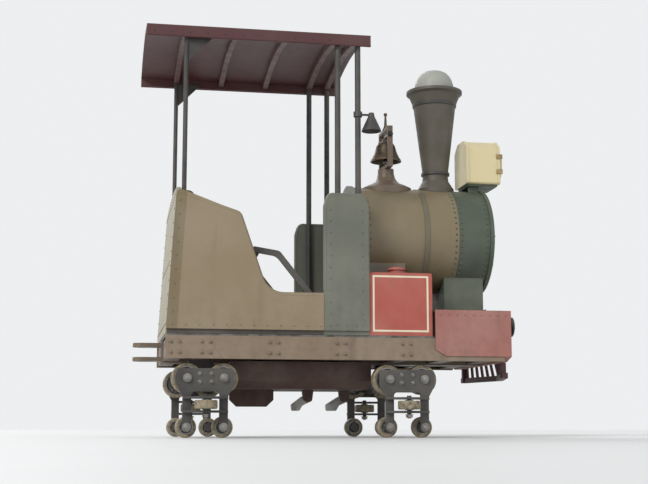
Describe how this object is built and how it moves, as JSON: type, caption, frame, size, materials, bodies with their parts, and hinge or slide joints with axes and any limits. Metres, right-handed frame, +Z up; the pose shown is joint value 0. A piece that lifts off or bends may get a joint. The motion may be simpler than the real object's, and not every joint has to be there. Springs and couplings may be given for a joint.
{
  "type": "roller coaster lead car",
  "caption": "Lead car of a mine-train roller coaster dressed as a small steam locomotive: roofed cab with a bench, boiler, stack and bell on wheel carriers that wrap the pipe rails",
  "frame": {"origin": "on the floor, under the middle of the bounding box", "axes": "+X forward along the track, +Y to the car's left, +Z up"},
  "size_m": [2.1399, 1.26, 2.255],
  "materials": {
    "frame_paint": "satin dark brown paint",
    "black_steel": "dusty black paint",
    "floor_steel": "worn chequered steel",
    "tub_paint": "satin taupe paint",
    "wall_paint": "satin pale grey-green paint",
    "vinyl": "dark brown vinyl",
    "cab_paint": "satin grey-green paint",
    "roof_paint": "satin maroon paint",
    "boiler_paint": "satin olive paint",
    "smokebox_paint": "dark green paint",
    "stack_paint": "sooty paint",
    "lamp_paint": "gloss cream paint",
    "lens": "frosted lens",
    "red_paint": "satin red paint with a cream line",
    "apron_paint": "faded red paint",
    "bell_brass": "polished and tarnished",
    "bare_steel": "oiled",
    "wheel_tread": "cast polyurethane on a metal centre"
  },
  "bodies": {
    "root": {"chassis_frame": "frame_paint", "centre_spine": "frame_paint", "rear_axle": "black_steel", "belly_pan": "black_steel", "floor_plate": "floor_steel", "side_panel_left": "tub_paint", "side_panel_right": "tub_paint", "seat_shell": "wall_paint", "seat_cushion": "vinyl", "seat_back": "vinyl", "cab_sheets": "cab_paint", "front_bulkhead": "cab_paint", "roof_sheet": "roof_paint", "roof_bows": "roof_paint", "roof_posts": "black_steel", "boiler": "boiler_paint", "smokebox": "smokebox_paint", "smoke_stack": "stack_paint", "bell_stand": "frame_paint", "headlamp": "lamp_paint", "headlamp_lens": "lens", "side_tanks": "red_paint", "front_deck": "frame_paint", "front_apron": "apron_paint", "buffers": "black_steel", "pilot": "roof_paint", "post_lantern": "cab_paint", "lantern_bulb": "lens"},
    "front_axle": {"front_axle": "black_steel"},
    "lap_bar": {"lap_bar": "black_steel", "lap_pad": "vinyl"},
    "bell": {"bell": "bell_brass"},
    "chain_dog": {"chain_dog": "bare_steel"},
    "rollback_dog": {"rollback_dog": "bare_steel"},
    "carrier_fl": {"carrier_fl": "black_steel"},
    "running_wheel_fl_lead": {"running_wheel_fl_lead": "wheel_tread"},
    "running_wheel_fl_trail": {"running_wheel_fl_trail": "wheel_tread"},
    "guide_wheel_fl": {"guide_wheel_fl": "wheel_tread"},
    "upstop_wheel_fl_lead": {"upstop_wheel_fl_lead": "wheel_tread"},
    "upstop_wheel_fl_trail": {"upstop_wheel_fl_trail": "wheel_tread"},
    "carrier_fr": {"carrier_fr": "black_steel"},
    "running_wheel_fr_lead": {"running_wheel_fr_lead": "wheel_tread"},
    "running_wheel_fr_trail": {"running_wheel_fr_trail": "wheel_tread"},
    "guide_wheel_fr": {"guide_wheel_fr": "wheel_tread"},
    "upstop_wheel_fr_lead": {"upstop_wheel_fr_lead": "wheel_tread"},
    "upstop_wheel_fr_trail": {"upstop_wheel_fr_trail": "wheel_tread"},
    "carrier_rl": {"carrier_rl": "black_steel"},
    "running_wheel_rl_lead": {"running_wheel_rl_lead": "wheel_tread"},
    "running_wheel_rl_trail": {"running_wheel_rl_trail": "wheel_tread"},
    "guide_wheel_rl": {"guide_wheel_rl": "wheel_tread"},
    "upstop_wheel_rl_lead": {"upstop_wheel_rl_lead": "wheel_tread"},
    "upstop_wheel_rl_trail": {"upstop_wheel_rl_trail": "wheel_tread"},
    "carrier_rr": {"carrier_rr": "black_steel"},
    "running_wheel_rr_lead": {"running_wheel_rr_lead": "wheel_tread"},
    "running_wheel_rr_trail": {"running_wheel_rr_trail": "wheel_tread"},
    "guide_wheel_rr": {"guide_wheel_rr": "wheel_tread"},
    "upstop_wheel_rr_lead": {"upstop_wheel_rr_lead": "wheel_tread"},
    "upstop_wheel_rr_trail": {"upstop_wheel_rr_trail": "wheel_tread"}
  },
  "joints": [
    {"name": "front_axle_steer", "type": "hinge", "parent": "root", "child": "front_axle", "pos_m": [0.365, 0, 0.407], "axis": [0, 0, 1], "range_deg": [-8, 8]},
    {"name": "lap_bar_lift", "type": "hinge", "parent": "root", "child": "lap_bar", "pos_m": [-0.11, 0, 0.717], "axis": [0, 1, 0], "range_deg": [0, 60]},
    {"name": "bell_swing", "type": "hinge", "parent": "root", "child": "bell", "pos_m": [0.38, 0, 1.744], "axis": [0, 1, 0], "range_deg": [-20, 20]},
    {"name": "chain_dog_lift", "type": "hinge", "parent": "root", "child": "chain_dog", "pos_m": [-0.085, 0, 0.221], "axis": [0, 1, 0], "range_deg": [0, 35]},
    {"name": "rollback_dog_lift", "type": "hinge", "parent": "root", "child": "rollback_dog", "pos_m": [0.125, 0, 0.221], "axis": [0, 1, 0], "range_deg": [0, 35]},
    {"name": "carrier_fl_rock", "type": "hinge", "parent": "front_axle", "child": "carrier_fl", "pos_m": [0.365, 0.365, 0.307], "axis": [0, 1, 0], "range_deg": [-8, 8]},
    {"name": "running_wheel_fl_lead_spin", "type": "hinge", "parent": "carrier_fl", "child": "running_wheel_fl_lead", "pos_m": [0.46, 0.45, 0.307], "axis": [0, 1, 0], "continuous": true},
    {"name": "running_wheel_fl_trail_spin", "type": "hinge", "parent": "carrier_fl", "child": "running_wheel_fl_trail", "pos_m": [0.27, 0.45, 0.307], "axis": [0, 1, 0], "continuous": true},
    {"name": "guide_wheel_fl_spin", "type": "hinge", "parent": "carrier_fl", "child": "guide_wheel_fl", "pos_m": [0.365, 0.57, 0.17], "axis": [0, 0, 1], "continuous": true},
    {"name": "upstop_wheel_fl_lead_spin", "type": "hinge", "parent": "carrier_fl", "child": "upstop_wheel_fl_lead", "pos_m": [0.46, 0.45, 0.055], "axis": [0, 1, 0], "continuous": true},
    {"name": "upstop_wheel_fl_trail_spin", "type": "hinge", "parent": "carrier_fl", "child": "upstop_wheel_fl_trail", "pos_m": [0.27, 0.45, 0.055], "axis": [0, 1, 0], "continuous": true},
    {"name": "carrier_fr_rock", "type": "hinge", "parent": "front_axle", "child": "carrier_fr", "pos_m": [0.365, -0.365, 0.307], "axis": [0, 1, 0], "range_deg": [-8, 8]},
    {"name": "running_wheel_fr_lead_spin", "type": "hinge", "parent": "carrier_fr", "child": "running_wheel_fr_lead", "pos_m": [0.46, -0.45, 0.307], "axis": [0, 1, 0], "continuous": true},
    {"name": "running_wheel_fr_trail_spin", "type": "hinge", "parent": "carrier_fr", "child": "running_wheel_fr_trail", "pos_m": [0.27, -0.45, 0.307], "axis": [0, 1, 0], "continuous": true},
    {"name": "guide_wheel_fr_spin", "type": "hinge", "parent": "carrier_fr", "child": "guide_wheel_fr", "pos_m": [0.365, -0.57, 0.17], "axis": [0, 0, 1], "continuous": true},
    {"name": "upstop_wheel_fr_lead_spin", "type": "hinge", "parent": "carrier_fr", "child": "upstop_wheel_fr_lead", "pos_m": [0.46, -0.45, 0.055], "axis": [0, 1, 0], "continuous": true},
    {"name": "upstop_wheel_fr_trail_spin", "type": "hinge", "parent": "carrier_fr", "child": "upstop_wheel_fr_trail", "pos_m": [0.27, -0.45, 0.055], "axis": [0, 1, 0], "continuous": true},
    {"name": "carrier_rl_rock", "type": "hinge", "parent": "root", "child": "carrier_rl", "pos_m": [-0.705, 0.365, 0.307], "axis": [0, 1, 0], "range_deg": [-8, 8]},
    {"name": "running_wheel_rl_lead_spin", "type": "hinge", "parent": "carrier_rl", "child": "running_wheel_rl_lead", "pos_m": [-0.61, 0.45, 0.307], "axis": [0, 1, 0], "continuous": true},
    {"name": "running_wheel_rl_trail_spin", "type": "hinge", "parent": "carrier_rl", "child": "running_wheel_rl_trail", "pos_m": [-0.8, 0.45, 0.307], "axis": [0, 1, 0], "continuous": true},
    {"name": "guide_wheel_rl_spin", "type": "hinge", "parent": "carrier_rl", "child": "guide_wheel_rl", "pos_m": [-0.705, 0.57, 0.17], "axis": [0, 0, 1], "continuous": true},
    {"name": "upstop_wheel_rl_lead_spin", "type": "hinge", "parent": "carrier_rl", "child": "upstop_wheel_rl_lead", "pos_m": [-0.61, 0.45, 0.055], "axis": [0, 1, 0], "continuous": true},
    {"name": "upstop_wheel_rl_trail_spin", "type": "hinge", "parent": "carrier_rl", "child": "upstop_wheel_rl_trail", "pos_m": [-0.8, 0.45, 0.055], "axis": [0, 1, 0], "continuous": true},
    {"name": "carrier_rr_rock", "type": "hinge", "parent": "root", "child": "carrier_rr", "pos_m": [-0.705, -0.365, 0.307], "axis": [0, 1, 0], "range_deg": [-8, 8]},
    {"name": "running_wheel_rr_lead_spin", "type": "hinge", "parent": "carrier_rr", "child": "running_wheel_rr_lead", "pos_m": [-0.61, -0.45, 0.307], "axis": [0, 1, 0], "continuous": true},
    {"name": "running_wheel_rr_trail_spin", "type": "hinge", "parent": "carrier_rr", "child": "running_wheel_rr_trail", "pos_m": [-0.8, -0.45, 0.307], "axis": [0, 1, 0], "continuous": true},
    {"name": "guide_wheel_rr_spin", "type": "hinge", "parent": "carrier_rr", "child": "guide_wheel_rr", "pos_m": [-0.705, -0.57, 0.17], "axis": [0, 0, 1], "continuous": true},
    {"name": "upstop_wheel_rr_lead_spin", "type": "hinge", "parent": "carrier_rr", "child": "upstop_wheel_rr_lead", "pos_m": [-0.61, -0.45, 0.055], "axis": [0, 1, 0], "continuous": true},
    {"name": "upstop_wheel_rr_trail_spin", "type": "hinge", "parent": "carrier_rr", "child": "upstop_wheel_rr_trail", "pos_m": [-0.8, -0.45, 0.055], "axis": [0, 1, 0], "continuous": true}
  ]
}
